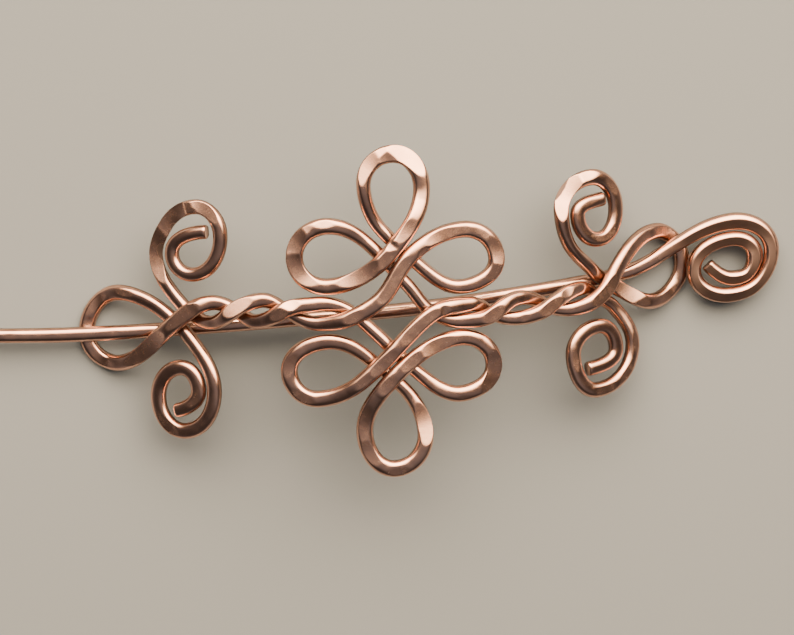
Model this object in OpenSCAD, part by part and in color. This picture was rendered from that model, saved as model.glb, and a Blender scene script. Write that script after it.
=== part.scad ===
// An arched hair slide of two knotted copper wires, with the hair stick that
// holds it in the hair. Millimetres. X runs along the slide, Y across it and
// Z up. The origin is on the floor below the crown of the arch.
// The slide's routes are laid out flat, as if the arch were rolled out, and
// are then bent over it. The stick's route is level.

/* [Wire] */
// Diameter of the slide's wire before it is hammered
wire_d = 2.05; // [1.6:0.05:2.6]
// Air between two round wires where one crosses over the other
cross_gap = 0.10; // [0.02:0.01:0.3]
// Share of its radius that the most hammered wire loses on top
hammer_top = 0.30; // [0:0.01:0.45]
// Share of its radius that the most hammered wire loses underneath
hammer_under = 0.25; // [0:0.01:0.45]
// Share of its radius that the most hammered wire spreads to each side
hammer_spread = 0.27; // [0:0.01:0.4]

/* [Arch] */
// Radius of the arch, to the middle of the wires
arch_r = 80; // [70:1:120]
// Distance along the arch from its crown to the bend that levels each foot
foot_at = 45; // [44:0.5:46]
// Radius of that bend
foot_r = 5; // [4:0.5:8]
// How flat the two feet are hammered, from 0 for round to 1
foot_flat = 0.7; // [0:0.05:1]

/* [Stick] */
// Diameter of the stick before it is hammered
stick_d = 2.1; // [1.6:0.05:2.6]
// Height of the stick's middle above the floor
stick_z = 2.9; // [2.8:0.05:4]

/* [Fineness] */
// Most that a wire turns between two rings of its surface, in degrees
turn_step = 18; // [6:1:30]
// Longest distance between two rings on the slide
ring_step = 2.8; // [1:0.1:6]
// Longest distance between two rings on the stick
stick_step = 5; // [1:0.1:10]
// Corners of a wire's cross-section
corners = 12; // [8:2:32]

/* [Hidden] */

copper = [0.69, 0.44, 0.34];
// Height of a strand's middle over the sheet where it crosses another
lift = (wire_d + cross_gap)/2;
// Angle of the arch where the bend of the feet starts
foot_angle = foot_at/arch_r*180/PI;
// Depth of the feet's middle under the crown's
foot_drop = arch_r - (arch_r + foot_r)*cos(foot_angle) + foot_r;
// Height of the crown's middle above the floor
crown_z = foot_drop + wire_d/2*(1 - hammer_under*foot_flat);

// Columns of every route: the place along and across, the heading there in
// degrees from +X, the height as a share of lift, how flat the wire is hammered
// and, on the stick only, its thickness as a share of the full one. Each row is
// a place where a strand turns outermost, crosses another strand or ends.
ALONG = 0;
ACROSS = 1;
HEADING = 2;
HEIGHT = 3;
FLAT = 4;
THICK = 5;

// Wire A from its inner end in the top left curl, through the lower strand
curl_top_left = [
    [-26.9, 13.2, 178, 0, 0.15],
    [-32.8, 10.0, -90, 0, 0.2],
    [-29.7, 6.95, 0, 0, 0.2],
    [-24.85, 12.9, 90, 0, 0.25],
    [-28.5, 17.0, 180, 0, 0.3],
    [-33.3, 14.6, -128, 0, 0.2],
    [-35.5, 9.9, -90, 0, 0.1],
];
twist_left_a = [
    [-32.25, 2.35, -51, -0.9, 0.1],
    [-30.6, 0.85, -42, -1, 0],
    [-27.2, -0.35, 5, 0, 0.1],
    [-23.8, 1.2, 33, 1, 0.8],
    [-19.4, 2.65, 0, 0, 0.4],
    [-16.3, 1.0, -33, -1, 0],
    [-11.0, -1.3, 0, 0, 0.3],
    [-5.8, -0.5, 22, 1, 0.8],
];
// Its three petals above the middle
petals_top = [
    [-1.1, 2.35, 48, 1, 0.9],
    [2.1, 6.8, 48, 1, 0.8],
    [11.1, 10.9, 0, 0, 0.8],
    [16.0, 6.3, -90, 0, 0.9],
    [10.4, 2.4, 180, -0.5, 0.3],
    [4.8, 5.7, 135, -1, 0],
    [-0.95, 11.9, 128, -0.9, 0],
    [-3.0, 18.3, 90, 0, 0.1],
    [1.4, 22.8, 0, 0, 1.1],
    [5.5, 18.0, -90, 0, 0.8],
    [3.3, 12.15, -126, 0.95, 0.8],
    [-0.9, 7.5, -139, 1, 0.9],
    [-9.3, 4.05, 180, 0, 0.8],
    [-13.95, 8.4, 90, 0, 1],
    [-9.0, 12.95, 0, 0, 0.8],
    [-3.1, 9.95, -45, -1, 0],
    [2.6, 3.1, -51, -1, 0],
];
twist_right_a = [
    [5.6, -0.9, -40, -1, 0],
    [10.0, -2.6, 0, 0, 0.3],
    [14.6, -1.9, 33, 1, 0.8],
    [18.95, -0.1, 0, 0, 0.4],
    [23.4, -1.7, -33, -1, 0],
    [27.6, -2.75, 3, 0, 0.3],
    [31.6, -1.46, 32, 0.95, 0.9],
    [33.2, -0.2, 44, 1, 1],
];
// Its loop round the right end and its last curl
loop_right = [
    [35.3, 2.6, 50, 0.9, 0.8],
    [43.6, 7.2, 0, 0, 0.8],
    [48.1, 2.3, -90, 0, foot_flat],
    [42.2, -3.4, 180, 0, 0.7],
    [38.6, -2.25, 152, -0.1, 0.6],
    [36.2, -0.65, 146, -0.72, 0.6],
    [34.6, 0.5, 143, -1, 0.3],
    [32.4, 2.2, 131, -1, 0.2],
];
curl_top_right = [
    [28.4, 6.3, 125, -0.5, 0],
    [26.8, 11.9, 90, 0, 0.4],
    [32.2, 16.6, 0, 0, 0.75],
    [36.3, 11.8, -90, 0, 0.6],
    [32.8, 7.2, 180, 0, 0.5],
    [29.5, 11.0, 90, 0, 0.5],
    [34.1, 13.2, 8, 0, 0.2],
];
// Wire B from its inner end in the bottom left curl
curl_bottom_left = [
    [-34.4, -13.5, 8, 0, 0.3],
    [-30.4, -10.3, 90, 0, 0.6],
    [-33.0, -7.0, 180, 0, 0.6],
    [-37.25, -11.8, -90, 0, 0.7],
    [-33.2, -16.65, 0, 0, 0.7],
    [-27.85, -10.0, 90, 0, 0.3],
    [-31.65, -2.6, 128, -0.9, 0.2],
];
// Its loop round the left end
loop_left = [
    [-33.5, -0.4, 137, -1, 0.1],
    [-37.4, 2.8, 150, -0.6, 0.4],
    [-42.7, 4.55, 180, 0, 0.7],
    [-48.57, -1.8, -90, 0, foot_flat],
    [-44.0, -6.2, 0, 0, 0.7],
];
twist_left_b = [
    [-33.4, -0.45, 35, 1, 1],
    [-30.2, 1.72, 30, 1, 0.9],
    [-27.2, 2.64, 0, 0, 0.4],
    [-23.8, 1.2, -33, -1, 0],
    [-20.5, -0.45, 0, 0, 0.3],
    [-16.3, 0.9, 28, 1, 0.8],
    [-11.0, 1.6, 0, 0, 0.4],
    [-5.8, -0.5, -42, -1, 0],
];
// Its three petals below the middle
petals_bottom = [
    [-3.35, -2.95, -46, -1, 0],
    [3.1, -9.9, -44, -1, 0],
    [9.05, -13.45, 0, 0, 0.8],
    [14.45, -9.4, 90, 0, 0.9],
    [9.65, -5.05, 180, 0, 0.8],
    [2.85, -7.15, -146, 0.9, 0.8],
    [-1.0, -10.25, -136, 1, 0.9],
    [-5.6, -18.2, -90, 0, 0.8],
    [-1.4, -23.8, 0, 0, 0.9],
    [3.4, -18.8, 90, 0, 0.6],
    [0.9, -12.2, 130, -1, 0],
    [-2.85, -8.45, 135, -1, 0],
    [-10.0, -4.1, 180, 0, 0.6],
    [-16.1, -8.4, -90, 0, 0.9],
    [-12.0, -12.55, 0, 0, 0.8],
    [-5.6, -10.4, 36, 0.75, 0.7],
    [-0.4, -6.1, 43, 1, 0.8],
    [2.35, -3.5, 42, 1, 0.8],
];
twist_right_b = [
    [5.6, -1.0, 30, 1, 0.8],
    [11.5, -0.25, 0, 0, 0.4],
    [14.6, -1.9, -33, -1, 0],
    [18.5, -3.1, 0, 0, 0.3],
    [23.4, -1.75, 33, 1, 0.8],
    [28.8, 0.15, 0, 0, 0.4],
    [31.6, -0.71, -33, -1, 0],
    [33.4, -1.95, -41, -1, 0],
];
curl_bottom_right = [
    [35.25, -3.3, -49, -0.9, 0.2],
    [37.9, -9.0, -90, 0, 0.3],
    [31.0, -15.55, 180, 0, 0.6],
    [27.25, -10.0, 90, 0, 0.6],
    [31.8, -5.9, 0, 0, 0.5],
    [34.8, -9.4, -90, 0, 0.5],
    [29.5, -12.2, 185, 0, 0.3],
];
// The stick, from its tip
shank = [
    [-86.0, 0.9, -2, 0, 0, 0.2],
    [-85.6, 0.89, -2, 0, 0, 0.42],
    [-84.8, 0.86, -2, 0, 0, 0.55],
    [-62.0, -0.25, -5.0, 0, 0.2, 1],
    [-48.0, -1.25, -2.5, 0, 0.3, 1],
    [-36.4, -1.6, -1, 0, 0.2, 1],
    [-13.5, -1.75, 0, 0, 0.2, 1],
    [13.3, -1.1, 4.5, 0, 0.2, 1],
    [30.6, 0.4, 6.5, 0, 0.2, 1],
    [37.0, 1.45, 15, 0, 0.2, 1],
    [41.5, 3.3, 29, 0, 0.2, 1],
];
// Its spiral head
head = [
    [45.6, 5.5, 28, 0, 0.3, 1],
    [53.6, 7.8, 0, 0, 1, 1],
    [59.15, 3.2, -90, 0, 0.5, 1],
    [56.95, -1.8, -135, 0, 0, 1],
    [52.1, -3.45, 180, 0, 0.5, 1],
    [46.95, 0.65, 90, 0, 0.35, 1],
    [53.3, 5.15, 0, 0, 0.35, 1],
    [56.5, 2.5, -90, 0, 0.9, 1],
    [55.35, -0.25, -135, 0, 0, 1],
    [53.0, -0.9, 180, 0, 0.4, 1],
    [49.1, 1.5, 132, 0, 0.4, 0.9],
];

route_a = concat(curl_top_left, twist_left_a, petals_top, twist_right_a, loop_right, curl_top_right);
route_b = concat(curl_bottom_left, loop_left, twist_left_b, petals_bottom, twist_right_b, curl_bottom_right);
route_stick = concat(shank, head);

// An angle brought between -180 and 180
function wrap(a) = a - 360*floor((a + 180)/360);

function mix(a, b, t) = a + (b - a)*t;

function unit(v) = v/norm(v);

// Length of a curve's handle as a share of the distance between its two rows,
// where a and b are the angles to the straight line at this row and the other.
// Of all smooth curves through two rows this is close to the springiest wire's.
function handle(a, b) =
    (2 + sqrt(2)*(sin(a) - sin(b)/16)*(sin(b) - sin(a)/16)*(cos(a) - cos(b)))
    /(3*(1 + 0.5*(sqrt(5) - 1)*cos(a) + 0.5*(3 - sqrt(5))*cos(b)));

function spot(row) = [row[ALONG], row[ACROSS]];

function way(row) = [cos(row[HEADING]), sin(row[HEADING])];

function reach(p, q) = norm(spot(q) - spot(p));

// Angles of rows p and q to the straight line between them
function lean(p, q) =
    let (d = spot(q) - spot(p), straight = atan2(d[1], d[0]))
    [wrap(p[HEADING] - straight), wrap(straight - q[HEADING])];

// The curve between rows p and q, as four control points
function curve(p, q) =
    let (a = lean(p, q), far = reach(p, q))
    [spot(p), spot(p) + far*handle(a[0], a[1])*way(p), spot(q) - far*handle(a[1], a[0])*way(q), spot(q)];

function along_curve(c, t) =
    pow(1 - t, 3)*c[0] + 3*pow(1 - t, 2)*t*c[1] + 3*(1 - t)*t*t*c[2] + pow(t, 3)*c[3];

// Slope of the height at row i: level at a highest or lowest row, and between
// the two neighbouring slopes elsewhere
function climb(route, i) =
    i == 0 || i == len(route) - 1 ? 0 :
    let (
        before = (route[i][HEIGHT] - route[i - 1][HEIGHT])/reach(route[i - 1], route[i]),
        after = (route[i + 1][HEIGHT] - route[i][HEIGHT])/reach(route[i], route[i + 1])
    )
    before*after <= 0 ? 0 : 2*before*after/(before + after);

function height(route, i, t) =
    let (p = route[i], q = route[i + 1], far = reach(p, q), rise = q[HEIGHT] - p[HEIGHT])
    p[HEIGHT] + rise*t*t*(3 - 2*t)
    + far*t*(1 - t)*(climb(route, i)*(1 - t) - climb(route, i + 1)*t);

// Place, height and flatness on the flat sheet, t of the way from row i to the next
function stand(route, i, t) =
    let (at = along_curve(curve(route[i], route[i + 1]), t))
    [at[0], at[1], lift*height(route, i, t), mix(route[i][FLAT], route[i + 1][FLAT], t)];

// Angle of the sheet on the arch at a place along it
function slope_at(along) =
    let (w = abs(along))
    sign(along)*(w <= foot_at ? w/arch_r*180/PI : max(foot_angle - (w - foot_at)/foot_r*180/PI, 0));

// A place on the flat sheet, bent over the arch
function on_arch(s) =
    let (
        w = abs(s[0]),
        a = abs(slope_at(s[0])),
        level_part = max(w - foot_at - foot_r*foot_angle*PI/180, 0),
        x = w <= foot_at ? (arch_r + s[2])*sin(a) :
            (arch_r + foot_r)*sin(foot_angle) - (foot_r - s[2])*sin(a) + level_part,
        z = w <= foot_at ? (arch_r + s[2])*cos(a) - arch_r :
            (arch_r + foot_r)*cos(foot_angle) - (foot_r - s[2])*cos(a) - arch_r
    )
    [s[0] < 0 ? -x : x, s[1], z + crown_z];

function place(s, arched) = arched ? on_arch(s) : [s[0], s[1], s[2] + stick_z];

// Steps that the surface takes between rows p and q
function steps(p, q, step) =
    let (a = lean(p, q))
    max(1, ceil(max((abs(a[0]) + abs(a[1]))/turn_step, reach(p, q)/step)));

// A corner of the hammered cross-section: flat on top and below, spread at the sides
function corner(angle, r, flat) =
    [
        r*(1 + hammer_spread*flat)*cos(angle),
        max(min(r*sin(angle), r*(1 - hammer_top*flat)), -r*(1 - hammer_under*flat)),
    ];

// One ring of a wire's surface, square to the wire
function ring(route, i, t, d, arched) =
    let (
        s = stand(route, i, t),
        e = 0.01,
        ahead = place(stand(route, i, min(t + e, 1)), arched),
        behind = place(stand(route, i, max(t - e, 0)), arched),
        forward = unit(ahead - behind),
        tilt = arched ? slope_at(s[0]) : 0,
        side = unit(cross(forward, [sin(tilt), 0, cos(tilt)])),
        up = cross(side, forward),
        thick = len(route[i]) > THICK ? mix(route[i][THICK], route[i + 1][THICK], t) : 1
    )
    [
        for (k = [0:corners - 1])
            let (c = corner((k + 0.5)*360/corners, d/2*thick, s[3]))
            place(s, arched) + c[0]*side + c[1]*up
    ];

// A wire of diameter d along a route, closed by a flat cut at both ends
module wire(route, d, step, arched) {
    last = len(route) - 2;
    rings = [
        for (i = [0:last])
            let (n = steps(route[i], route[i + 1], step))
            for (j = [0:(i == last ? n : n - 1)])
                ring(route, i, j/n, d, arched)
    ];
    final = len(rings) - 1;
    sides = [
        for (i = [0:final - 1], k = [0:corners - 1])
            let (a = i*corners + k, b = i*corners + (k + 1)%corners)
            each [[a, b, b + corners], [a, b + corners, a + corners]]
    ];
    start_cut = [for (k = [0:corners - 1]) corners - 1 - k];
    end_cut = [for (k = [0:corners - 1]) final*corners + k];
    polyhedron([for (r = rings) each r], concat(sides, [start_cut, end_cut]), convexity = 10);
}

module knot_wire_a() {
    color(copper)
        wire(route_a, wire_d, ring_step, true);
}

module knot_wire_b() {
    color(copper)
        wire(route_b, wire_d, ring_step, true);
}

module hair_stick() {
    color(copper)
        wire(route_stick, stick_d, stick_step, false);
}

knot_wire_a();
knot_wire_b();
hair_stick();
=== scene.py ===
"""An arched hair slide of two knotted, hammered copper wires, and its hair stick.

Each wire starts as a straight round rod. It is bent along its route, and every ring of it is
then flattened the way the hammer left it. The routes are laid out flat and bent over the arch.
"""
import math
import random

import bmesh
import bpy
from mathutils import Matrix, Vector


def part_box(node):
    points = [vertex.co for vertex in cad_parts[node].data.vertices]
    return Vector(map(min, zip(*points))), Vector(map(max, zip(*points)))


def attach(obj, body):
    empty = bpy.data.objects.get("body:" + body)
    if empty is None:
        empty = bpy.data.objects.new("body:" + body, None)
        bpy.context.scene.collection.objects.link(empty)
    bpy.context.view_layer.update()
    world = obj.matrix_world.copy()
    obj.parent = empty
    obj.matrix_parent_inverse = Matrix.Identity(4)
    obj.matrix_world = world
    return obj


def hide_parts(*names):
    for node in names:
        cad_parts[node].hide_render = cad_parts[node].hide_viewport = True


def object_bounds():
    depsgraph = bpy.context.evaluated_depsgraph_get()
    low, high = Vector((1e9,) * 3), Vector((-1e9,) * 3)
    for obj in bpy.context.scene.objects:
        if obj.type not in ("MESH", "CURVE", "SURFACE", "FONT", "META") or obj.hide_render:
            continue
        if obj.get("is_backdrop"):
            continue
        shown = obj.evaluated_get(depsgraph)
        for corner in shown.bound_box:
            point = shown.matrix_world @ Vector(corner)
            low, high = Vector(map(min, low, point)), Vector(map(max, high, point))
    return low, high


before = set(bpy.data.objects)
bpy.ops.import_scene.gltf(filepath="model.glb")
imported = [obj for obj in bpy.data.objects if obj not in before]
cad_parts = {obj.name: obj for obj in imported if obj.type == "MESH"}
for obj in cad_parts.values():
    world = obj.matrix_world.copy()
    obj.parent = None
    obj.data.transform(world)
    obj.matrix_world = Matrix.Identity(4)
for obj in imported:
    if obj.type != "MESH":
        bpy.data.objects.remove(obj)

bl_info = {
    "name": "Knotted Copper Hair Slide",
    "version": (1, 0, 0),
    "blender": (4, 5, 0),
    "location": "View3D > Sidebar > Hair Slide",
    "description": "Bends and hammers the slide's two wires and its stick, and sets them on a pale floor",
    "category": "Add Mesh",
}

MM = 0.001

# Columns of every route, in millimetres and degrees: the place along and across the slide, the
# heading, the height as a share of the lift at a crossing, how flat the wire is hammered and,
# on the stick only, its thickness as a share of the full one
ALONG, ACROSS, HEADING, HEIGHT, FLAT, THICK = range(6)
FOOT_FLAT = 0.7

CURL_TOP_LEFT = [
    (-26.9, 13.2, 178, 0, 0.15),
    (-32.8, 10.0, -90, 0, 0.2),
    (-29.7, 6.95, 0, 0, 0.2),
    (-24.85, 12.9, 90, 0, 0.25),
    (-28.5, 17.0, 180, 0, 0.3),
    (-33.3, 14.6, -128, 0, 0.2),
    (-35.5, 9.9, -90, 0, 0.1),
]
TWIST_LEFT_A = [
    (-32.25, 2.35, -51, -0.9, 0.1),
    (-30.6, 0.85, -42, -1, 0),
    (-27.2, -0.35, 5, 0, 0.1),
    (-23.8, 1.2, 33, 1, 0.8),
    (-19.4, 2.65, 0, 0, 0.4),
    (-16.3, 1.0, -33, -1, 0),
    (-11.0, -1.3, 0, 0, 0.3),
    (-5.8, -0.5, 22, 1, 0.8),
]
PETALS_TOP = [
    (-1.1, 2.35, 48, 1, 0.9),
    (2.1, 6.8, 48, 1, 0.8),
    (11.1, 10.9, 0, 0, 0.8),
    (16.0, 6.3, -90, 0, 0.9),
    (10.4, 2.4, 180, -0.5, 0.3),
    (4.8, 5.7, 135, -1, 0),
    (-0.95, 11.9, 128, -0.9, 0),
    (-3.0, 18.3, 90, 0, 0.1),
    (1.4, 22.8, 0, 0, 1.1),
    (5.5, 18.0, -90, 0, 0.8),
    (3.3, 12.15, -126, 0.95, 0.8),
    (-0.9, 7.5, -139, 1, 0.9),
    (-9.3, 4.05, 180, 0, 0.8),
    (-13.95, 8.4, 90, 0, 1),
    (-9.0, 12.95, 0, 0, 0.8),
    (-3.1, 9.95, -45, -1, 0),
    (2.6, 3.1, -51, -1, 0),
]
TWIST_RIGHT_A = [
    (5.6, -0.9, -40, -1, 0),
    (10.0, -2.6, 0, 0, 0.3),
    (14.6, -1.9, 33, 1, 0.8),
    (18.95, -0.1, 0, 0, 0.4),
    (23.4, -1.7, -33, -1, 0),
    (27.6, -2.75, 3, 0, 0.3),
    (31.6, -1.46, 32, 0.95, 0.9),
    (33.2, -0.2, 44, 1, 1),
]
LOOP_RIGHT = [
    (35.3, 2.6, 50, 0.9, 0.8),
    (43.6, 7.2, 0, 0, 0.8),
    (48.1, 2.3, -90, 0, FOOT_FLAT),
    (42.2, -3.4, 180, 0, 0.7),
    (38.6, -2.25, 152, -0.1, 0.6),
    (36.2, -0.65, 146, -0.72, 0.6),
    (34.6, 0.5, 143, -1, 0.3),
    (32.4, 2.2, 131, -1, 0.2),
]
CURL_TOP_RIGHT = [
    (28.4, 6.3, 125, -0.5, 0),
    (26.8, 11.9, 90, 0, 0.4),
    (32.2, 16.6, 0, 0, 0.75),
    (36.3, 11.8, -90, 0, 0.6),
    (32.8, 7.2, 180, 0, 0.5),
    (29.5, 11.0, 90, 0, 0.5),
    (34.1, 13.2, 8, 0, 0.2),
]
CURL_BOTTOM_LEFT = [
    (-34.4, -13.5, 8, 0, 0.3),
    (-30.4, -10.3, 90, 0, 0.6),
    (-33.0, -7.0, 180, 0, 0.6),
    (-37.25, -11.8, -90, 0, 0.7),
    (-33.2, -16.65, 0, 0, 0.7),
    (-27.85, -10.0, 90, 0, 0.3),
    (-31.65, -2.6, 128, -0.9, 0.2),
]
LOOP_LEFT = [
    (-33.5, -0.4, 137, -1, 0.1),
    (-37.4, 2.8, 150, -0.6, 0.4),
    (-42.7, 4.55, 180, 0, 0.7),
    (-48.57, -1.8, -90, 0, FOOT_FLAT),
    (-44.0, -6.2, 0, 0, 0.7),
]
TWIST_LEFT_B = [
    (-33.4, -0.45, 35, 1, 1),
    (-30.2, 1.72, 30, 1, 0.9),
    (-27.2, 2.64, 0, 0, 0.4),
    (-23.8, 1.2, -33, -1, 0),
    (-20.5, -0.45, 0, 0, 0.3),
    (-16.3, 0.9, 28, 1, 0.8),
    (-11.0, 1.6, 0, 0, 0.4),
    (-5.8, -0.5, -42, -1, 0),
]
PETALS_BOTTOM = [
    (-3.35, -2.95, -46, -1, 0),
    (3.1, -9.9, -44, -1, 0),
    (9.05, -13.45, 0, 0, 0.8),
    (14.45, -9.4, 90, 0, 0.9),
    (9.65, -5.05, 180, 0, 0.8),
    (2.85, -7.15, -146, 0.9, 0.8),
    (-1.0, -10.25, -136, 1, 0.9),
    (-5.6, -18.2, -90, 0, 0.8),
    (-1.4, -23.8, 0, 0, 0.9),
    (3.4, -18.8, 90, 0, 0.6),
    (0.9, -12.2, 130, -1, 0),
    (-2.85, -8.45, 135, -1, 0),
    (-10.0, -4.1, 180, 0, 0.6),
    (-16.1, -8.4, -90, 0, 0.9),
    (-12.0, -12.55, 0, 0, 0.8),
    (-5.6, -10.4, 36, 0.75, 0.7),
    (-0.4, -6.1, 43, 1, 0.8),
    (2.35, -3.5, 42, 1, 0.8),
]
TWIST_RIGHT_B = [
    (5.6, -1.0, 30, 1, 0.8),
    (11.5, -0.25, 0, 0, 0.4),
    (14.6, -1.9, -33, -1, 0),
    (18.5, -3.1, 0, 0, 0.3),
    (23.4, -1.75, 33, 1, 0.8),
    (28.8, 0.15, 0, 0, 0.4),
    (31.6, -0.71, -33, -1, 0),
    (33.4, -1.95, -41, -1, 0),
]
CURL_BOTTOM_RIGHT = [
    (35.25, -3.3, -49, -0.9, 0.2),
    (37.9, -9.0, -90, 0, 0.3),
    (31.0, -15.55, 180, 0, 0.6),
    (27.25, -10.0, 90, 0, 0.6),
    (31.8, -5.9, 0, 0, 0.5),
    (34.8, -9.4, -90, 0, 0.5),
    (29.5, -12.2, 185, 0, 0.3),
]
SHANK = [
    (-86.0, 0.9, -2, 0, 0, 0.2),
    (-85.6, 0.89, -2, 0, 0, 0.42),
    (-84.8, 0.86, -2, 0, 0, 0.55),
    (-62.0, -0.25, -5.0, 0, 0.2, 1),
    (-48.0, -1.25, -2.5, 0, 0.3, 1),
    (-36.4, -1.6, -1, 0, 0.2, 1),
    (-13.5, -1.75, 0, 0, 0.2, 1),
    (13.3, -1.1, 4.5, 0, 0.2, 1),
    (30.6, 0.4, 6.5, 0, 0.2, 1),
    (37.0, 1.45, 15, 0, 0.2, 1),
    (41.5, 3.3, 29, 0, 0.2, 1),
]
SPIRAL_HEAD = [
    (45.6, 5.5, 28, 0, 0.3, 1),
    (53.6, 7.8, 0, 0, 1, 1),
    (59.15, 3.2, -90, 0, 0.5, 1),
    (56.95, -1.8, -135, 0, 0, 1),
    (52.1, -3.45, 180, 0, 0.5, 1),
    (46.95, 0.65, 90, 0, 0.35, 1),
    (53.3, 5.15, 0, 0, 0.35, 1),
    (56.5, 2.5, -90, 0, 0.9, 1),
    (55.35, -0.25, -135, 0, 0, 1),
    (53.0, -0.9, 180, 0, 0.4, 1),
    (49.1, 1.5, 132, 0, 0.4, 0.9),
]

ROUTE_A = CURL_TOP_LEFT + TWIST_LEFT_A + PETALS_TOP + TWIST_RIGHT_A + LOOP_RIGHT + CURL_TOP_RIGHT
ROUTE_B = CURL_BOTTOM_LEFT + LOOP_LEFT + TWIST_LEFT_B + PETALS_BOTTOM + TWIST_RIGHT_B + CURL_BOTTOM_RIGHT
ROUTE_STICK = SHANK + SPIRAL_HEAD

# The hammer blows that show most: where each lies along and across the slide, its length along the
# wire, how many degrees its face leans towards +X and +Y, and how deep it cuts into the round wire.
# Lengths are in millimetres. Smaller blows are spread between these by chance.
BLOWS_A = [
    (-23.9, 1.1, 11, 3, 13, 0.33),
    (-6.4, -0.7, 5, 0, -1, 0.24),
    (0.4, 4.4, 9, 1, -1, 0.24),
    (4.4, 8.8, 1.8, 24, -24, 0.16),
    (2.3, 10.8, 4, 0, 6, 0.23),
    (0.6, 8.9, 1.6, -5, 13, 0.26),
    (-0.8, 7.5, 3.4, 3, -2, 0.27),
    (-2.9, 19.2, 7, -9, 12, 0.17),
    (-1.2, 21.9, 5, -3, 15, 0.18),
    (1.6, 22.1, 3.2, 0, -2, 0.33),
    (5.2, 19.8, 7.5, 4, 15, 0.2),
    (-8.1, 12.9, 5, 0, 13, 0.13),
    (-12.6, 11.6, 4, -6, 13, 0.13),
    (-13.9, 7.9, 4.6, -7, 12, 0.14),
    (-11.2, 4.6, 5, -3, 12, 0.13),
    (-7.4, 4.4, 4, 0, 11, 0.15),
    (10.1, 10.9, 5.2, 1, -1, 0.19),
    (15.3, 8.6, 4.6, 4, -5, 0.24),
    (15.2, 4.2, 4.6, 4, -6, 0.24),
    (15.0, -1.5, 8, 0, -2, 0.32),
    (32.0, -1.0, 9, 1, -3, 0.35),
    (44.4, 7.1, 4.8, 2, 4, 0.2),
    (45.4, -2.5, 3.6, -2, 0, 0.18),
    (38.2, -2.2, 6, -10, -8, 0.16),
    (40.9, -3.4, 4.4, -12, -5, 0.13),
    (-33.8, 6.4, 7, 8, 11, 0.1),
    (-35.3, 10.6, 5, 14, 11, 0.12),
    (26.4, 10.6, 8, -10, 14, 0.08),
    (-32.3, 15.6, 4, 7, 4, 0.16),
    (-28.7, 17.0, 4, 0, -3, 0.25),
    (-25.2, 14.7, 4.8, -3, 9, 0.16),
    (29.0, 15.6, 6, -14, 17, 0.13),
    (32.6, 16.9, 3.8, -8, 15, 0.11),
    (35.0, 15.3, 4.2, 3, 0, 0.18),
    (33.7, 7.4, 5, 0, 2, 0.16),
]
BLOWS_B = [
    (-31.9, 0.6, 8.5, 5, 0, 0.29),
    (-41.5, -5.8, 9, 3, -2, 0.18),
    (-29.0, 2.3, 1.8, -8, 48, 0.11),
    (-16.8, 0.7, 5.6, 0, -5, 0.28),
    (-13.7, 1.5, 2.6, -3, 18, 0.13),
    (-15.4, -6.2, 3.8, -2, -4, 0.2),
    (-14.5, -11.7, 4.8, -1, -4, 0.2),
    (-5.4, -10.3, 4.4, 2, -5, 0.18),
    (-1.4, -7.0, 6, 0, -6, 0.29),
    (3.9, -2.2, 8.4, 0, -2, 0.24),
    (-1.5, -10.8, 4.2, -2, -4, 0.27),
    (2.1, -7.7, 4.6, 3, 0, 0.27),
    (-5.6, -18.5, 3.8, -4, 3, 0.19),
    (-4.4, -22.2, 3.2, -3, 4, 0.2),
    (-0.9, -23.8, 4.4, 0, -9, 0.2),
    (3.2, -20.0, 8, 5, 12, 0.22),
    (9.4, -5.1, 5, 0, -4, 0.1),
    (14.2, -7.9, 3.6, 4, -13, 0.24),
    (13.5, -11.7, 3.4, 2, -4, 0.2),
    (9.6, -13.6, 3, 0, -14, 0.1),
    (7.8, -0.3, 1.6, -4, -10, 0.15),
    (23.5, -1.7, 8, 0, -2, 0.33),
    (19.9, -3.0, 1.8, -20, -4, 0.16),
    (27.2, 0.1, 2.4, 0, 10, 0.13),
    (-46.4, 3.2, 5.4, 0, 1, 0.18),
    (-41.4, 4.4, 5, 7, 3, 0.16),
    (-48.2, 0.3, 1.8, 3, -2, 0.18),
    (-46.6, -5.4, 6, -1, -2, 0.18),
    (37.9, -8.8, 4.4, 2, 0, 0.16),
    (36.4, -13.1, 4, 0, -2, 0.16),
    (32.3, -15.4, 5, 0, -4, 0.18),
    (27.3, -10.8, 3.8, -2, 0, 0.16),
]

# Corners of a wire's cross-section, in its upper and lower part, and where the upper part begins and
# ends, in degrees round the wire
UPPER_CORNERS, LOWER_CORNERS = 36, 20
CORNERS = UPPER_CORNERS + LOWER_CORNERS
UPPER_FROM, UPPER_TO = -8, 188
# Samples that measure the length of a curve between two rows, and half the step, as a share of it,
# over which its direction is taken
LENGTH_SAMPLES, HALF_STEP = 16, 0.01

# Widths over which an edge is rounded, in millimetres of height: where light taps crown the wire,
# between a hammered face and the round wire, and between two hammered faces
SOFT_EDGE, ROUND_EDGE, FACE_EDGE = 0.3, 0.05, 0.012
# Flatness from which light taps crown the wire in full
CROWNED = 0.3
# How far down a wire's sides the hammer cuts, as a share of its radius
CUT_DOWN_TO = -0.3
# How deep a cut shows the hammer's own face all over, in millimetres
MARKED = 0.04
# Heights on a wire's flanks between which a painted shade grows, from none at the first height to full at
# the second, as shares of the radius
SHADE_STARTS, SHADE_FULL = 0.55, 0.0

# A blow's face curves up and out of the wire past its two ends: millimetres of height for a square
# millimetre of distance
RUN_OUT = 0.035
# Share of the run-out that counts as part of a blow's length, and half the least length of the
# level part of a blow and of an edge blow, in millimetres
RUN_OUT_SHARE, LEAST_REACH, EDGE_REACH = 0.8, 0.3, 0.2
# A blow shorter than this is one of the hammer's edge, which ends where its length says
EDGE_BLOW = 3
# How far past a listed blow the even flattening comes back, in millimetres
EVEN_AGAIN = 2.2
# Of two strands at a listed blow's place the upper one is struck: a millimetre higher counts as this
# much nearer
UPPER_NEARER = 0.3

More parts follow.
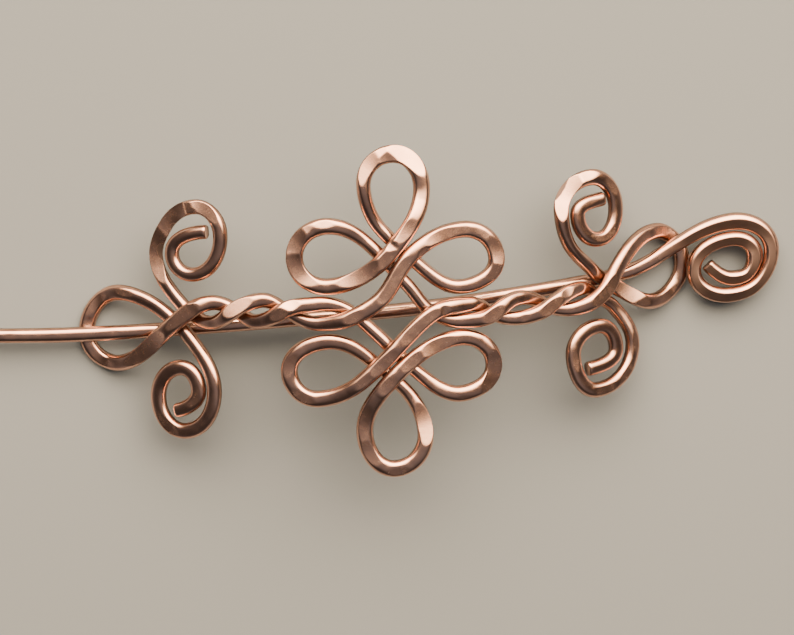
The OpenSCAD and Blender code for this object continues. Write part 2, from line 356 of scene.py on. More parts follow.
# A chance blow's least and greatest length, as shares of the usual one, and its depth, as shares of
# the hammering there
CHANCE_LENGTH, CHANCE_CUT = (0.7, 1.4), (0.4, 0.75)
# Distance from one chance blow to the next, as a share of its length, and the share of a listed
# blow's reach that chance blows keep clear of
CHANCE_STEP, LISTED_CLEAR = 0.9, 0.8
# Flatness and slope of a wire past which no chance blow strikes it
TOO_ROUND, STEEP = 0.2, 0.1

# Where along the stick its head begins, and over what length its hammering becomes full
HEAD_FROM, HEAD_GROWS = 40, 6
# The head was hammered as it lay rolled this many degrees towards +Y
HEAD_TIP = -20
# Share of its radius that the head's upper face cuts off, how much a painted shade darkens that face
# (it stands for a dark reflection), and how much of the cut shows the hammer's face, all from 0 to 1
HEAD_CUT, HEAD_SHADE, HEAD_MARKED = 0.13, 0.95, 0.5

# The bevel on a wire's cut ends: the share of the radius it takes off, and its length in millimetres
END_BEVEL, END_BEVEL_LENGTH = 0.08, 0.15

# The soft lights: place, width and depth in metres, colour, and the share of the width that fades
WINDOW = ("window", (0.11, 0.51, 0.547), (2.1, 1.19), "#FFE9CA", 0.8)
CEILING = ("ceiling", (-0.05, -0.10, 0.713), (3.0, 0.8), "#E2ECFF", 0.9)
# The room's colours low down and high up, and the sines of the two angles above the floor between
# which the first turns to the second
ROOM_LOW, ROOM_HIGH, ROOM_TURN = "#8B8D91", "#3C3D3F", (0.1, 0.45)
FLOOR_HALF_SIDE = 2.0


def linear(code):
    """An sRGB hex colour as linear RGB."""
    shares = [int(code[i : i + 2], 16) / 255 for i in (1, 3, 5)]
    return [c / 12.92 if c <= 0.04045 else ((c + 0.055) / 1.055) ** 2.4 for c in shares]


class WireSettings(bpy.types.PropertyGroup):
    wire_diameter: bpy.props.FloatProperty(
        name="Wire diameter", description="Diameter of the slide's wire before it is hammered",
        default=2.05 * MM, min=1.6 * MM, max=2.6 * MM, unit="LENGTH")
    stick_diameter: bpy.props.FloatProperty(
        name="Stick diameter", description="Diameter of the stick before it is hammered",
        default=2.1 * MM, min=1.6 * MM, max=2.6 * MM, unit="LENGTH")
    cross_gap: bpy.props.FloatProperty(
        name="Crossing gap", description="Air between two round wires where one crosses the other",
        default=0.1 * MM, min=0.02 * MM, max=0.3 * MM, unit="LENGTH")
    ring_step: bpy.props.FloatProperty(
        name="Ring step", description="Distance between two rings of a wire's surface",
        default=0.21 * MM, min=0.1 * MM, max=1 * MM, unit="LENGTH")


class ArchSettings(bpy.types.PropertyGroup):
    radius: bpy.props.FloatProperty(
        name="Radius", description="Radius of the arch, to the middle of the wires",
        default=80 * MM, min=70 * MM, max=120 * MM, unit="LENGTH")
    foot_at: bpy.props.FloatProperty(
        name="Foot at",
        description="Distance along the arch from its crown to the bend that levels each foot",
        default=45 * MM, min=44 * MM, max=46 * MM, unit="LENGTH")
    foot_radius: bpy.props.FloatProperty(
        name="Foot radius", description="Radius of the bend that levels each foot",
        default=5 * MM, min=4 * MM, max=8 * MM, unit="LENGTH")


class HammerSettings(bpy.types.PropertyGroup):
    top: bpy.props.FloatProperty(
        name="Top", description="Share of its radius that the most hammered wire loses on top",
        default=0.30, min=0, max=0.45, subtype="FACTOR")
    under: bpy.props.FloatProperty(
        name="Underneath", description="Share of its radius that the most hammered wire loses underneath",
        default=0.25, min=0, max=0.45, subtype="FACTOR")
    spread: bpy.props.FloatProperty(
        name="Spread", description="Share of its radius that the most hammered wire spreads to each side",
        default=0.27, min=0, max=0.4, subtype="FACTOR")
    smooth_share: bpy.props.FloatProperty(
        name="Even hammering",
        description="Share of the flattening that lies evenly along the wire, between the blows",
        default=0.45, min=0, max=1, subtype="FACTOR")
    blow_length: bpy.props.FloatProperty(
        name="Blow length", description="Usual length of one hammer blow along the wire",
        default=5.5 * MM, min=1 * MM, max=12 * MM, unit="LENGTH")
    blow_lean: bpy.props.FloatProperty(
        name="Blow lean", description="Usual lean of one hammer blow against the arch",
        default=math.radians(1.5), min=0, max=math.radians(12), subtype="ANGLE")
    seed: bpy.props.IntProperty(
        name="Seed", description="Picks another spread of the hammer marks", default=7, min=0)


class FinishSettings(bpy.types.PropertyGroup):
    bright: bpy.props.FloatVectorProperty(
        name="Bright copper", description="Colour of the freshly polished copper",
        default=linear("#E9B398"), min=0, max=1, subtype="COLOR")
    aged: bpy.props.FloatVectorProperty(
        name="Aged copper", description="Colour of the copper where it has begun to brown",
        default=linear("#D5A188"), min=0, max=1, subtype="COLOR")
    # Colour of the painted shade low on the wires' flanks, also used for the painted dark reflection on the
    # stick head's faces
    flank_shade: bpy.props.FloatVectorProperty(
        name="Painted flank shade", description="Colour of the copper low on the wires' flanks",
        default=linear("#6A554C"), min=0, max=1, subtype="COLOR")
    drawn_roughness: bpy.props.FloatProperty(
        name="Drawn roughness", description="Roughness of the wire where it is still round",
        default=0.19, min=0.05, max=0.6, subtype="FACTOR")
    hammered_roughness: bpy.props.FloatProperty(
        name="Hammered roughness", description="Roughness of the hammered faces",
        default=0.26, min=0.05, max=0.6, subtype="FACTOR")


class StageSettings(bpy.types.PropertyGroup):
    floor_colour: bpy.props.FloatVectorProperty(
        name="Floor", description="Colour of the floor",
        default=linear("#858788"), min=0, max=1, subtype="COLOR")
    key_radiance: bpy.props.FloatProperty(
        name="Window light", description="Brightness of the large soft light", default=15, min=0, max=60)
    ceiling_radiance: bpy.props.FloatProperty(
        name="Ceiling", description="Brightness of the dim panel overhead", default=0.2, min=0, max=20)
    room_radiance: bpy.props.FloatProperty(
        name="Room", description="Brightness of the dim room all round", default=1, min=0, max=40)


def wrapped(degrees):
    """An angle brought between -180 and 180."""
    return degrees - 360 * math.floor((degrees + 180) / 360)


def mixed(a, b, share):
    return a + (b - a) * share


def handle(a, b):
    """Length of a curve's handle as a share of the distance between its two rows.

    a and b are the angles to the straight line at this row and the other, in degrees. Of all
    smooth curves through two rows this is close to the one that springy wire takes.
    """
    a, b = math.radians(a), math.radians(b)
    pull = (math.sin(a) - math.sin(b) / 16) * (math.sin(b) - math.sin(a) / 16) * (math.cos(a) - math.cos(b))
    tension = 1 + 0.5 * (math.sqrt(5) - 1) * math.cos(a) + 0.5 * (3 - math.sqrt(5)) * math.cos(b)
    return (2 + math.sqrt(2) * pull) / (3 * tension)


def spot(row):
    return Vector(row[:2])


def way(row):
    heading = math.radians(row[HEADING])
    return Vector((math.cos(heading), math.sin(heading)))


def reach(p, q):
    return (spot(q) - spot(p)).length


def control_points(p, q):
    """The curve between rows p and q."""
    straight = math.degrees(math.atan2(q[ACROSS] - p[ACROSS], q[ALONG] - p[ALONG]))
    lean_p, lean_q = wrapped(p[HEADING] - straight), wrapped(straight - q[HEADING])
    far = reach(p, q)
    return (
        spot(p),
        spot(p) + far * handle(lean_p, lean_q) * way(p),
        spot(q) - far * handle(lean_q, lean_p) * way(q),
        spot(q),
    )


def on_curve(points, t):
    s = 1 - t
    return s**3 * points[0] + 3 * s * s * t * points[1] + 3 * s * t * t * points[2] + t**3 * points[3]


def climb(route, i):
    """Slope of the height at row i: level at a highest or lowest row."""
    if i in (0, len(route) - 1):
        return 0
    before = (route[i][HEIGHT] - route[i - 1][HEIGHT]) / reach(route[i - 1], route[i])
    after = (route[i + 1][HEIGHT] - route[i][HEIGHT]) / reach(route[i], route[i + 1])
    return 0 if before * after <= 0 else 2 * before * after / (before + after)


def height(route, i, t):
    p, q = route[i], route[i + 1]
    bend = climb(route, i) * (1 - t) - climb(route, i + 1) * t
    rise = (q[HEIGHT] - p[HEIGHT]) * t * t * (3 - 2 * t)
    return p[HEIGHT] + rise + reach(p, q) * t * (1 - t) * bend


class Sheet:
    """The flat sheet that the routes are laid out on, bent over the arch, in millimetres."""

    def __init__(self, wires, arch, hammer):
        self.radius = arch.radius / MM
        self.foot_at = arch.foot_at / MM
        self.foot_radius = arch.foot_radius / MM
        self.foot_angle = self.foot_at / self.radius
        self.lift = (wires.wire_diameter + wires.cross_gap) / MM / 2
        bend = self.radius + self.foot_radius
        drop = self.radius - bend * math.cos(self.foot_angle) + self.foot_radius
        self.crown = drop + wires.wire_diameter / MM / 2 * (1 - hammer.under * FOOT_FLAT)

    def slope(self, along):
        """Angle of the sheet at a place along it."""
        w = abs(along)
        if w <= self.foot_at:
            angle = w / self.radius
        else:
            angle = max(self.foot_angle - (w - self.foot_at) / self.foot_radius, 0)
        return math.copysign(angle, along)

    def place(self, along, across, level):
        """A place on the flat sheet, bent over the arch."""
        w, angle = abs(along), abs(self.slope(along))
        if w <= self.foot_at:
            x = (self.radius + level) * math.sin(angle)
            z = (self.radius + level) * math.cos(angle)
        else:
            bend = self.radius + self.foot_radius
            level_part = max(w - self.foot_at - self.foot_radius * self.foot_angle, 0)
            x = bend * math.sin(self.foot_angle) - (self.foot_radius - level) * math.sin(angle) + level_part
            z = bend * math.cos(self.foot_angle) - (self.foot_radius - level) * math.cos(angle)
        return Vector((math.copysign(x, along), across, z - self.radius + self.crown))

    def normal(self, along):
        return Vector((math.sin(self.slope(along)), 0, math.cos(self.slope(along))))


class LevelSheet:
    """The stick's sheet, which isn't bent."""

    def __init__(self, height_mm):
        self.lift = 0
        self.height = height_mm

    def place(self, along, across, level):
        return Vector((along, across, self.height + level))

    def normal(self, along):
        return Vector((0, 0, 1))


class Ring:
    """One ring of a wire: its middle, directions, radius and flatness."""

    def __init__(self, route, i, t, sheet, radius):
        row, after = route[i], route[i + 1]
        points = control_points(row, after)
        self.spot = on_curve(points, t)
        level = sheet.lift * height(route, i, t)
        self.middle = sheet.place(*self.spot, level)
        ends = []
        for near in (max(t - HALF_STEP, 0), min(t + HALF_STEP, 1)):
            ends.append((on_curve(points, near), sheet.lift * height(route, i, near)))
        (spot_0, level_0), (spot_1, level_1) = ends
        self.forward = (sheet.place(*spot_1, level_1) - sheet.place(*spot_0, level_0)).normalized()
        self.side = self.forward.cross(sheet.normal(self.spot.x)).normalized()
        self.up = self.side.cross(self.forward)
        self.flat_forward = (spot_1 - spot_0).normalized()
        self.flat_side = Vector((self.flat_forward.y, -self.flat_forward.x))
        self.flat = mixed(row[FLAT], after[FLAT], t)
        self.radius = radius * (mixed(row[THICK], after[THICK], t) if len(row) > THICK else 1)
        self.level = level
        self.climb = (level_1 - level_0) / (spot_1 - spot_0).length
        self.upright = self.up.dot(sheet.normal(self.spot.x))
        self.arc = 0
        # The hammering sets these: how far the wire has spread to each side, how much the ring is
        # part of the stick's head, how the head's face leans there, and how even the wire is
        self.half_width = self.radius
        self.head = 0
        self.tip = Vector((0, 0))
        self.even = 1


def rings_along(route, sheet, radius, step):
    """The rings of a wire, about a step apart."""
    rings = []
    for i in range(len(route) - 1):
        points = control_points(route[i], route[i + 1])
        samples = [on_curve(points, k / LENGTH_SAMPLES) for k in range(LENGTH_SAMPLES + 1)]
        length = sum((b - a).length for a, b in zip(samples, samples[1:]))
        count = max(2, math.ceil(length / step))
        rings += [Ring(route, i, k / count, sheet, radius) for k in range(count)]
    rings.append(Ring(route, len(route) - 2, 1, sheet, radius))
    for before, ring in zip(rings, rings[1:]):
        ring.arc = before.arc + (ring.middle - before.middle).length
    return rings


class Blow:
    """One blow of the hammer: a flat face over the sheet, and the stretch of wire that it reaches."""

    def __init__(self, ring, length, lean, cut):
        across = lean.dot(ring.flat_side)
        rise = math.hypot(ring.half_width * across, ring.radius) - cut * math.hypot(1, across)
        self.arc, self.lean = ring.arc, lean
        self.run_out = RUN_OUT
        if length <= EDGE_BLOW:
            self.run_out = max(RUN_OUT, cut / (length / 2 - EDGE_REACH) ** 2)
        self.reach = max(LEAST_REACH, length / 2 - RUN_OUT_SHARE * math.sqrt(cut / self.run_out))
        self.level = ring.level + rise + lean.dot(ring.spot)

    def off(self, ring):
        """How far past this blow's ends a ring lies."""
        return max(0, abs(ring.arc - self.arc) - self.reach)

    def height(self, ring, x):
        """Height of the face above a ring's middle, at x to the right of it."""
        face = self.level - self.lean.dot(ring.spot + x * ring.flat_side)
        level = face + self.run_out * self.off(ring) ** 2
        return (level - ring.level) / ring.upright


def slopes(lean_x, lean_y):
    """Slopes of a face that leans this many degrees towards +X and +Y."""
    return Vector((math.tan(math.radians(lean_x)), math.tan(math.radians(lean_y))))


def listed_blows(rows, rings):
    """The listed blows, each on the ring nearest to its place, and on the upper of two strands."""
    blows = []
    for along, across, length, lean_x, lean_y, cut in rows:
        place = Vector((along, across))
        ring = min(rings, key=lambda r: (r.spot - place).length - UPPER_NEARER * r.level)
        blows.append(Blow(ring, length, slopes(lean_x, lean_y) + ring.tip, cut))
    return blows


def chance_blows(rings, listed, hammer, draw):
    """Blows from end to end of a wire, wherever it is hammered and no listed blow lies."""
    usual = hammer.blow_length / MM
    blows, here = [], 0
    for ring in rings:
        if ring.arc < here:
            continue
        length = usual * draw.uniform(*CHANCE_LENGTH)
        lean = Vector((draw.gauss(0, hammer.blow_lean), draw.gauss(0, hammer.blow_lean)))
        cut = hammer.top * ring.radius * ring.flat * draw.uniform(*CHANCE_CUT)
        here = ring.arc + length * CHANCE_STEP
        clear = all(abs(b.arc - ring.arc) > LISTED_CLEAR * b.reach + length / 2 for b in listed)
        if ring.flat > TOO_ROUND and ring.head == 0 and abs(ring.climb) < STEEP and clear:
            blows.append(Blow(ring, length, lean + ring.tip - ring.climb * ring.flat_forward, cut))
    return blows


def lower_of(a, b, edge):
    """The lower of two heights, with the edge between them rounded."""
    overlap = max(edge - abs(a - b), 0) / edge
    return min(a, b) - overlap * overlap * edge / 4


def corner_angles():
    """Angles of a cross-section's corners round the wire, closer together in its upper part."""
    start, end = math.radians(UPPER_FROM), math.radians(UPPER_TO)
    upper = [mixed(start, end, k / UPPER_CORNERS) for k in range(UPPER_CORNERS)]
    return upper + [mixed(end, start + 2 * math.pi, k / LOWER_CORNERS) for k in range(LOWER_CORNERS)]


def cross_section(ring, blows, hammer):
    """Corners of a ring's cross-section, each with how much it is hammered and how much painted shade
    darkens it, from 0 to 1.

    The section is a spread round, tapped and cut by the blows on top and pressed flat underneath.
    """
    taps = hammer.top * hammer.smooth_share * ring.flat * ring.even
    even = ring.radius * (1 - mixed(taps, HEAD_CUT, ring.head))
    soft = mixed(SOFT_EDGE * min(1, ring.flat / CROWNED) + ROUND_EDGE, ROUND_EDGE, ring.head)
    under = ring.radius * (1 - hammer.under * ring.flat)
    corners = []
    for angle in corner_angles():
        x, y = ring.half_width * math.cos(angle), ring.radius * math.sin(angle)
        drawn, levelled = y, 0
        if y < 0:
            y = -lower_of(-y, under, ROUND_EDGE)
        if y > CUT_DOWN_TO * ring.radius:
            y = lower_of(y, even - x * ring.tip.dot(ring.flat_side), soft)
            levelled = min(1, (drawn - y) / MARKED)
            drawn = mixed(y, drawn, HEAD_MARKED * ring.head)
            if blows:
                face = blows[0].height(ring, x)
                for blow in blows[1:]:
                    face = lower_of(face, blow.height(ring, x), FACE_EDGE)
                y = lower_of(y, face, ROUND_EDGE)
        struck = min(1, abs(drawn - y) / MARKED)
        # Painted shade: the copper is darkened low on the flanks, less where the hammer struck the upper
        # half, and the head's levelled faces get a painted dark reflection
        flank_shade = (SHADE_STARTS - y / ring.radius) / (SHADE_STARTS - SHADE_FULL) * (1 - struck * (y > 0))
        painted_shade = max(HEAD_SHADE * ring.head * levelled, flank_shade)
        corners.append((x, y, struck, min(1, max(0, painted_shade))))
    return corners


def hammered_sections(rings, rows, hammer, has_head, draw):
    """The cross-section of every ring."""
    for ring in rings:
        ring.half_width = ring.radius * (1 + hammer.spread * ring.flat)
        ring.head = min(1, max(0, (ring.spot.x - HEAD_FROM) / HEAD_GROWS)) if has_head else 0
        tip = slopes(0, HEAD_TIP * ring.head)
        ring.tip = tip.dot(ring.flat_side) * ring.flat_side
    blows = listed_blows(rows, rings)
    for ring in rings:
        nearest = min((blow.off(ring) for blow in blows), default=EVEN_AGAIN)
        ring.even = min(1, nearest / EVEN_AGAIN) ** 2
    blows += chance_blows(rings, blows, hammer, draw)
    sections = []
    for ring in rings:
        # Past this distance a blow's face has risen clear of the wire
        near = [b for b in blows if RUN_OUT * b.off(ring) ** 2 < 2 * ring.radius]
        sections.append(cross_section(ring, near, hammer))
    return sections


def straight_rod(count):
    """A straight round rod of unit size in a new bmesh, with a ring at every whole height."""
    bm = bmesh.new()
    bmesh.ops.create_cone(bm, cap_ends=True, segments=CORNERS, radius1=1, radius2=1, depth=1)
    sides = [e for e in bm.edges if abs(e.verts[0].co.z - e.verts[1].co.z) > 0.5]
    bmesh.ops.subdivide_edges(bm, edges=sides, cuts=count - 2, use_grid_fill=True)
    bmesh.ops.translate(bm, verts=bm.verts, vec=(0, 0, 0.5))
    bmesh.ops.scale(bm, verts=bm.verts, vec=(1, 1, count - 1))
    return bm


def hammered_wire(name, rings, sections):
    """A rod bent along the rings and given their sections, as a new object with its place in its mesh.

    The vertices carry how hammered the copper is and how much painted shade darkens it, and the UV
    map is the distance along the wire in millimetres and the turn round it.
    """
    bm = straight_rod(len(rings))
    hammered = bm.verts.layers.float.new("hammered")
    painted_shade = bm.verts.layers.float.new("painted_shade")
    uv = bm.loops.layers.uv.new("along_wire")
    total = rings[-1].arc
    ring_of, corner_of = {}, {}
    for v in bm.verts:
        i = round(v.co.z)
        k = round(math.atan2(v.co.y, v.co.x) / (2 * math.pi) * CORNERS) % CORNERS
        ring_of[v], corner_of[v] = i, k
    for face in bm.faces:
        corners = [corner_of[v] for v in face.verts]
        over_seam = max(corners) - min(corners) > CORNERS / 2
        for loop in face.loops:
            k = corner_of[loop.vert]
            turned = (k + CORNERS if over_seam and k < CORNERS / 2 else k) / CORNERS
            loop[uv].uv = (rings[ring_of[loop.vert]].arc, turned)
        face.smooth = len(face.verts) == 4
    for v in bm.verts:
        ring = rings[ring_of[v]]
        x, y, v[hammered], v[painted_shade] = sections[ring_of[v]][corner_of[v]]
        from_end = min(ring.arc, total - ring.arc)
        full = 1 - END_BEVEL * max(0, 1 - from_end / END_BEVEL_LENGTH)
        v.co = (ring.middle + full * (x * ring.side + y * ring.up)) * MM
    bmesh.ops.recalc_face_normals(bm, faces=bm.faces)
    mesh = bpy.data.meshes.new(name)
    bm.to_mesh(mesh)
    bm.free()
    obj = bpy.data.objects.new(name, mesh)
    bpy.context.collection.objects.link(obj)
    return obj


def add_node(tree, kind, inputs=(), **settings):
    """Adds a node. inputs maps a socket's name or number to a value or to an output to link."""
    node = tree.nodes.new(kind)
    for key, value in settings.items():
        setattr(node, key, value)
    for key, value in dict(inputs).items():
        if isinstance(value, bpy.types.NodeSocket):
            tree.links.new(value, node.inputs[key])
        else:
            node.inputs[key].default_value = value
    return node


def new_material(name):
    """A material and its empty node tree, or no tree where the material is there already."""
    material = bpy.data.materials.get(name)
    if material:
        return material, None
    material = bpy.data.materials.new(name)
    material.use_nodes = True
    material.node_tree.nodes.clear()
    return material, material.node_tree


def hammered_copper():
    """Copper wire, drawn, hammered on a block and tumbled.

    Where it is still round it is smooth and glossy, with fine lines from the drawing die. The
    hammered faces are a little duller and grained. The pink copper has begun to brown in patches.
    Low on its flanks it is darkened by a painted shade, and the flats of the stick's head by a
    painted dark reflection; where this shade is painted the copper is also duller.
    """
    material, tree = new_material("tumbled_hammered_copper")
    if tree is None:
        return material
    finish = bpy.context.scene.slide_finish
    place = add_node(tree, "ShaderNodeTexCoord")
    in_mm = add_node(tree, "ShaderNodeMapping", {0: place.outputs["Object"], "Scale": (1 / MM,) * 3})
    # Patches of about 5 mm where the copper has aged more, but is still bright
    patches = add_node(tree, "ShaderNodeTexNoise", {0: in_mm.outputs[0], "Scale": 0.2, "Detail": 3})
    aged = add_node(tree, "ShaderNodeMapRange", {0: patches.outputs[0], 1: 0.42, 2: 0.68})
    face = add_node(tree, "ShaderNodeMix",
                    {0: aged.outputs[0], 6: (*finish.bright, 1), 7: (*finish.aged, 1)},
                    data_type="RGBA")
    # Painted shade: the colour is mixed towards a dark one low on the wires' flanks, and as a painted dark
    # reflection on the head's levelled faces; there the copper is also rougher
    painted_shade = add_node(tree, "ShaderNodeAttribute", attribute_name="painted_shade")
    colour = add_node(tree, "ShaderNodeMix",
                      {0: painted_shade.outputs["Fac"], 6: face.outputs[2], 7: (*finish.flank_shade, 1)},
                      data_type="RGBA")
    # The hammered faces are duller than the round wire, and the tumbler evens this out in places
    hammered = add_node(tree, "ShaderNodeAttribute", attribute_name="hammered")
    base = add_node(tree, "ShaderNodeMapRange",
                    {0: hammered.outputs["Fac"], 3: finish.drawn_roughness, 4: finish.hammered_roughness})
    tumbled = add_node(tree, "ShaderNodeTexNoise", {0: in_mm.outputs[0], "Scale": 0.9, "Detail": 3})
    varied = add_node(tree, "ShaderNodeMapRange",
                      {0: tumbled.outputs[0], 1: 0.3, 2: 0.7, 3: -0.03, 4: 0.03})
    clean = add_node(tree, "ShaderNodeMath", {0: base.outputs[0], 1: varied.outputs[0]}, operation="ADD")
    rough = add_node(tree, "ShaderNodeMath", {0: painted_shade.outputs["Fac"], 1: 0.25, 2: clean.outputs[0]},
                     operation="MULTIPLY_ADD")
    # Die lines and grain show less where shade is painted, and not at all where it is full
    showing = add_node(tree, "ShaderNodeMath", {0: 1, 1: painted_shade.outputs["Fac"]}, operation="SUBTRACT")
    # Die lines: 0.25 mm wide here, coarser than real ones, so that they show
    along = add_node(tree, "ShaderNodeUVMap", uv_map="along_wire")
    stretched = add_node(tree, "ShaderNodeMapping", {0: along.outputs[0], "Scale": (0.3, 26, 1)})
    lines = add_node(tree, "ShaderNodeTexNoise", {0: stretched.outputs[0], "Scale": 1, "Detail": 2})
    # Grain of the hammer's face, about 0.3 mm
    grain = add_node(tree, "ShaderNodeTexNoise", {0: in_mm.outputs[0], "Scale": 3.2, "Detail": 2})
    marks = add_node(tree, "ShaderNodeMath", {0: grain.outputs[0], 1: hammered.outputs["Fac"]},
                     operation="MULTIPLY")
    grained = add_node(tree, "ShaderNodeBump",
                       {"Height": marks.outputs[0], "Distance": 0.005 * MM, "Strength": showing.outputs[0]})
    fine = add_node(tree, "ShaderNodeBump",
                    {"Height": lines.outputs[0], "Distance": 0.0015 * MM, "Strength": showing.outputs[0],
                     "Normal": grained.outputs[0]})
    shader = add_node(tree, "ShaderNodeBsdfPrincipled",
                      {"Base Color": colour.outputs[2], "Metallic": 1, "Roughness": rough.outputs[0],
                       "Normal": fine.outputs[0]})
    add_node(tree, "ShaderNodeOutputMaterial", {0: shader.outputs[0]})
    return material


def painted_floor():
    """A matt painted board: pale, even and without shine."""
    material, tree = new_material("matt_painted_board")
    if tree is None:
        return material
    stage = bpy.context.scene.slide_stage
    shader = add_node(tree, "ShaderNodeBsdfPrincipled",
                      {"Base Color": (*stage.floor_colour, 1), "Roughness": 0.8, "Specular IOR Level": 0.2})
    add_node(tree, "ShaderNodeOutputMaterial", {0: shader.outputs[0]})
    return material


def make_wire(name, node, body, route, rows, sheet, diameter, salt):
    """Makes one wire that stands for its CAD node. The salt gives each wire its own chance blows."""
    scene = bpy.context.scene
    rings = rings_along(route, sheet, diameter / MM / 2, scene.slide_wires.ring_step / MM)
    draw = random.Random(scene.slide_hammer.seed * 100 + salt)
    sections = hammered_sections(rings, rows, scene.slide_hammer, node == "hair_stick", draw)
    obj = hammered_wire(name, rings, sections)
    obj.data.materials.append(hammered_copper())
    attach(obj, body)
    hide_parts(node)


class SLIDE_OT_knot_wires(bpy.types.Operator):
    """Bend and hammer the two knotted wires of the slide"""

    bl_idname = "slide.knot_wires"
    bl_label = "Make the Knot Wires"

    def execute(self, context):
        scene = context.scene
        sheet = Sheet(scene.slide_wires, scene.slide_arch, scene.slide_hammer)
        diameter = scene.slide_wires.wire_diameter
        make_wire("hammered_wire_a", "knot_wire_a", "slide", ROUTE_A, BLOWS_A, sheet, diameter, 1)
        make_wire("hammered_wire_b", "knot_wire_b", "slide", ROUTE_B, BLOWS_B, sheet, diameter, 2)
        return {"FINISHED"}


class SLIDE_OT_hair_stick(bpy.types.Operator):
    """Bend and hammer the stick and its spiral head"""

    bl_idname = "slide.hair_stick"
    bl_label = "Make the Hair Stick"

    def execute(self, context):
        low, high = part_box("hair_stick")
        sheet = LevelSheet((low.z + high.z) / 2 / MM)
        diameter = context.scene.slide_wires.stick_diameter
        make_wire("hammered_stick", "hair_stick", "stick", ROUTE_STICK, (), sheet, diameter, 3)
        return {"FINISHED"}


def make_floor():
    """A level floor under the lowest point of the slide."""
    low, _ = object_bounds()
    bm = bmesh.new()
    bmesh.ops.create_grid(bm, x_segments=1, y_segments=1, size=FLOOR_HALF_SIDE)
    bmesh.ops.translate(bm, verts=bm.verts, vec=(0, 0, low.z))
    mesh = bpy.data.meshes.new("floor")
    bm.to_mesh(mesh)
    bm.free()
    floor = bpy.data.objects.new("floor", mesh)
    bpy.context.collection.objects.link(floor)
    mesh.materials.append(painted_floor())
    floor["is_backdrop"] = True


def faded(tree, share, fade):
    """Fades from 1 in the middle to 0 at either edge, over a share of the width."""
    side = add_node(tree, "ShaderNodeMath", {0: share, 1: 2, 2: -1}, operation="MULTIPLY_ADD")
    out = add_node(tree, "ShaderNodeMath", {0: side.outputs[0]}, operation="ABSOLUTE")
    return add_node(tree, "ShaderNodeMapRange", {0: out.outputs[0], 1: 1, 2: 1 - fade, 3: 0, 4: 1},
                    interpolation_type="SMOOTHSTEP").outputs[0]


def soft_box(name, place, size, colour, fade, radiance):
    """An area light turned towards the origin, dimmer towards its edges."""
    width, depth = size
    light = bpy.data.lights.new(name, "AREA")
    light.shape = "RECTANGLE"
    light.size, light.size_y = width, depth
    light.energy = radiance * math.pi * width * depth
    light.color = linear(colour)
    light.use_nodes = True
    tree = light.node_tree
    tree.nodes.clear()
    on_light = add_node(tree, "ShaderNodeNewGeometry")
    parts = add_node(tree, "ShaderNodeSeparateXYZ", {0: on_light.outputs["Parametric"]})
    level = add_node(tree, "ShaderNodeMath",
                     {0: faded(tree, parts.outputs[0], fade), 1: faded(tree, parts.outputs[1], fade)},
                     operation="MULTIPLY")
    glow = add_node(tree, "ShaderNodeEmission", {1: level.outputs[0]})
    add_node(tree, "ShaderNodeOutputLight", {0: glow.outputs[0]})
    obj = bpy.data.objects.new(name, light)
    obj.location = place
    obj.rotation_euler = Vector(place).to_track_quat("Z", "Y").to_euler()
    bpy.context.collection.objects.link(obj)


def set_world(strength):
    """A dim room whose walls are pale low down."""
    world = bpy.data.worlds.new("dim_room")
    world.use_nodes = True
    tree = world.node_tree
    tree.nodes.clear()
    direction = add_node(tree, "ShaderNodeTexCoord")
    parts = add_node(tree, "ShaderNodeSeparateXYZ", {0: direction.outputs["Generated"]})
    high = add_node(tree, "ShaderNodeMapRange", {0: parts.outputs[2], 1: ROOM_TURN[0], 2: ROOM_TURN[1]})
    colour = add_node(tree, "ShaderNodeMix",
                      {0: high.outputs[0], 6: (*linear(ROOM_LOW), 1), 7: (*linear(ROOM_HIGH), 1)},
                      data_type="RGBA")
    back = add_node(tree, "ShaderNodeBackground", {0: colour.outputs[2], 1: strength})
    add_node(tree, "ShaderNodeOutputWorld", {0: back.outputs[0]})
    bpy.context.scene.world = world


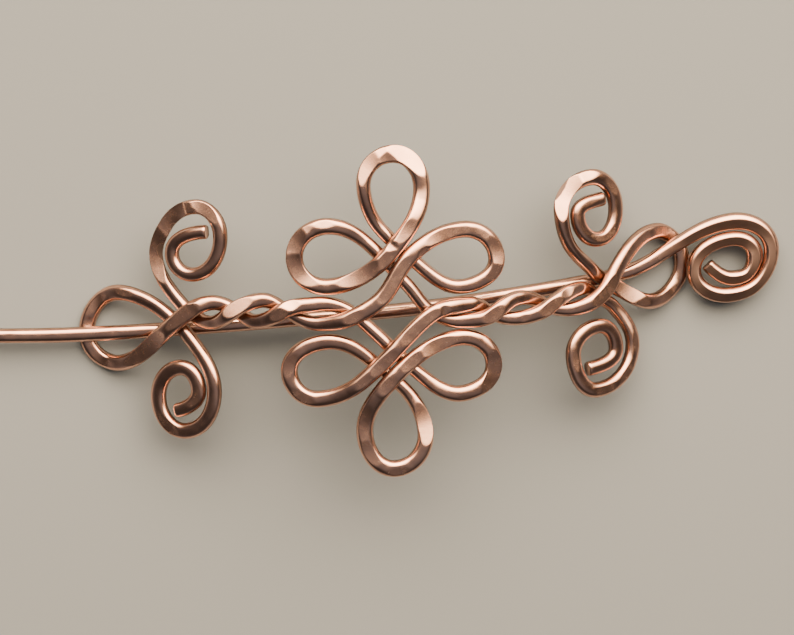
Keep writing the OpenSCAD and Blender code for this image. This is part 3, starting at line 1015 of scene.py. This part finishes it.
def set_camera(crown):
    """The photograph's camera: nearly straight above the crown, and turned a little three ways."""
    sensor_width, image_width, focal_pixels = 36, 794, 2176
    tilt, yaw, roll = math.radians(7.4), math.radians(3.6), math.radians(4.3)
    distance, right, up = 320 * MM, 0.544 * MM, -1.191 * MM
    camera = bpy.data.cameras.new("camera")
    camera.sensor_width = sensor_width
    camera.lens = focal_pixels * sensor_width / image_width
    camera.clip_start, camera.clip_end = 0.01, 10
    obj = bpy.data.objects.new("camera", camera)
    turned = Matrix.Rotation(tilt, 4, "X") @ Matrix.Rotation(yaw, 4, "Y") @ Matrix.Rotation(roll, 4, "Z")
    above, back = Matrix.Translation((0, 0, crown)), Matrix.Translation((right, up, distance))
    obj.matrix_world = above @ turned.transposed() @ back
    bpy.context.collection.objects.link(obj)
    bpy.context.scene.camera = obj


class SLIDE_OT_stage(bpy.types.Operator):
    """Set the floor, the soft lights and the camera"""

    bl_idname = "slide.stage"
    bl_label = "Set the Stage"

    def execute(self, context):
        scene = context.scene
        stage = scene.slide_stage
        sheet = Sheet(scene.slide_wires, scene.slide_arch, scene.slide_hammer)
        make_floor()
        soft_box(*WINDOW, stage.key_radiance)
        soft_box(*CEILING, stage.ceiling_radiance)
        set_world(stage.room_radiance)
        set_camera(sheet.crown * MM)
        return {"FINISHED"}


class SLIDE_PT_panel(bpy.types.Panel):
    """The slide's settings and the operators that make it"""

    bl_label = "Hair Slide"
    bl_idname = "SLIDE_PT_panel"
    bl_space_type = "VIEW_3D"
    bl_region_type = "UI"
    bl_category = "Hair Slide"

    def draw(self, context):
        for name in SETTINGS:
            box = self.layout.box()
            settings = getattr(context.scene, name)
            for prop in settings.bl_rna.properties:
                if prop.identifier not in ("rna_type", "name"):
                    box.prop(settings, prop.identifier)
        for operator in OPERATORS:
            self.layout.operator(operator.bl_idname)


SETTINGS = {
    "slide_wires": WireSettings,
    "slide_arch": ArchSettings,
    "slide_hammer": HammerSettings,
    "slide_finish": FinishSettings,
    "slide_stage": StageSettings,
}
OPERATORS = (SLIDE_OT_knot_wires, SLIDE_OT_hair_stick, SLIDE_OT_stage)


def register():
    for name, group in SETTINGS.items():
        bpy.utils.register_class(group)
        setattr(bpy.types.Scene, name, bpy.props.PointerProperty(type=group))
    for operator in OPERATORS:
        bpy.utils.register_class(operator)
    bpy.utils.register_class(SLIDE_PT_panel)


def unregister():
    bpy.utils.unregister_class(SLIDE_PT_panel)
    for operator in reversed(OPERATORS):
        bpy.utils.unregister_class(operator)
    for name, group in reversed(SETTINGS.items()):
        delattr(bpy.types.Scene, name)
        bpy.utils.unregister_class(group)


def main():
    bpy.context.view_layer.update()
    register()
    bpy.ops.slide.knot_wires()
    bpy.ops.slide.hair_stick()
    bpy.ops.slide.stage()


if __name__ == "__main__":
    main()
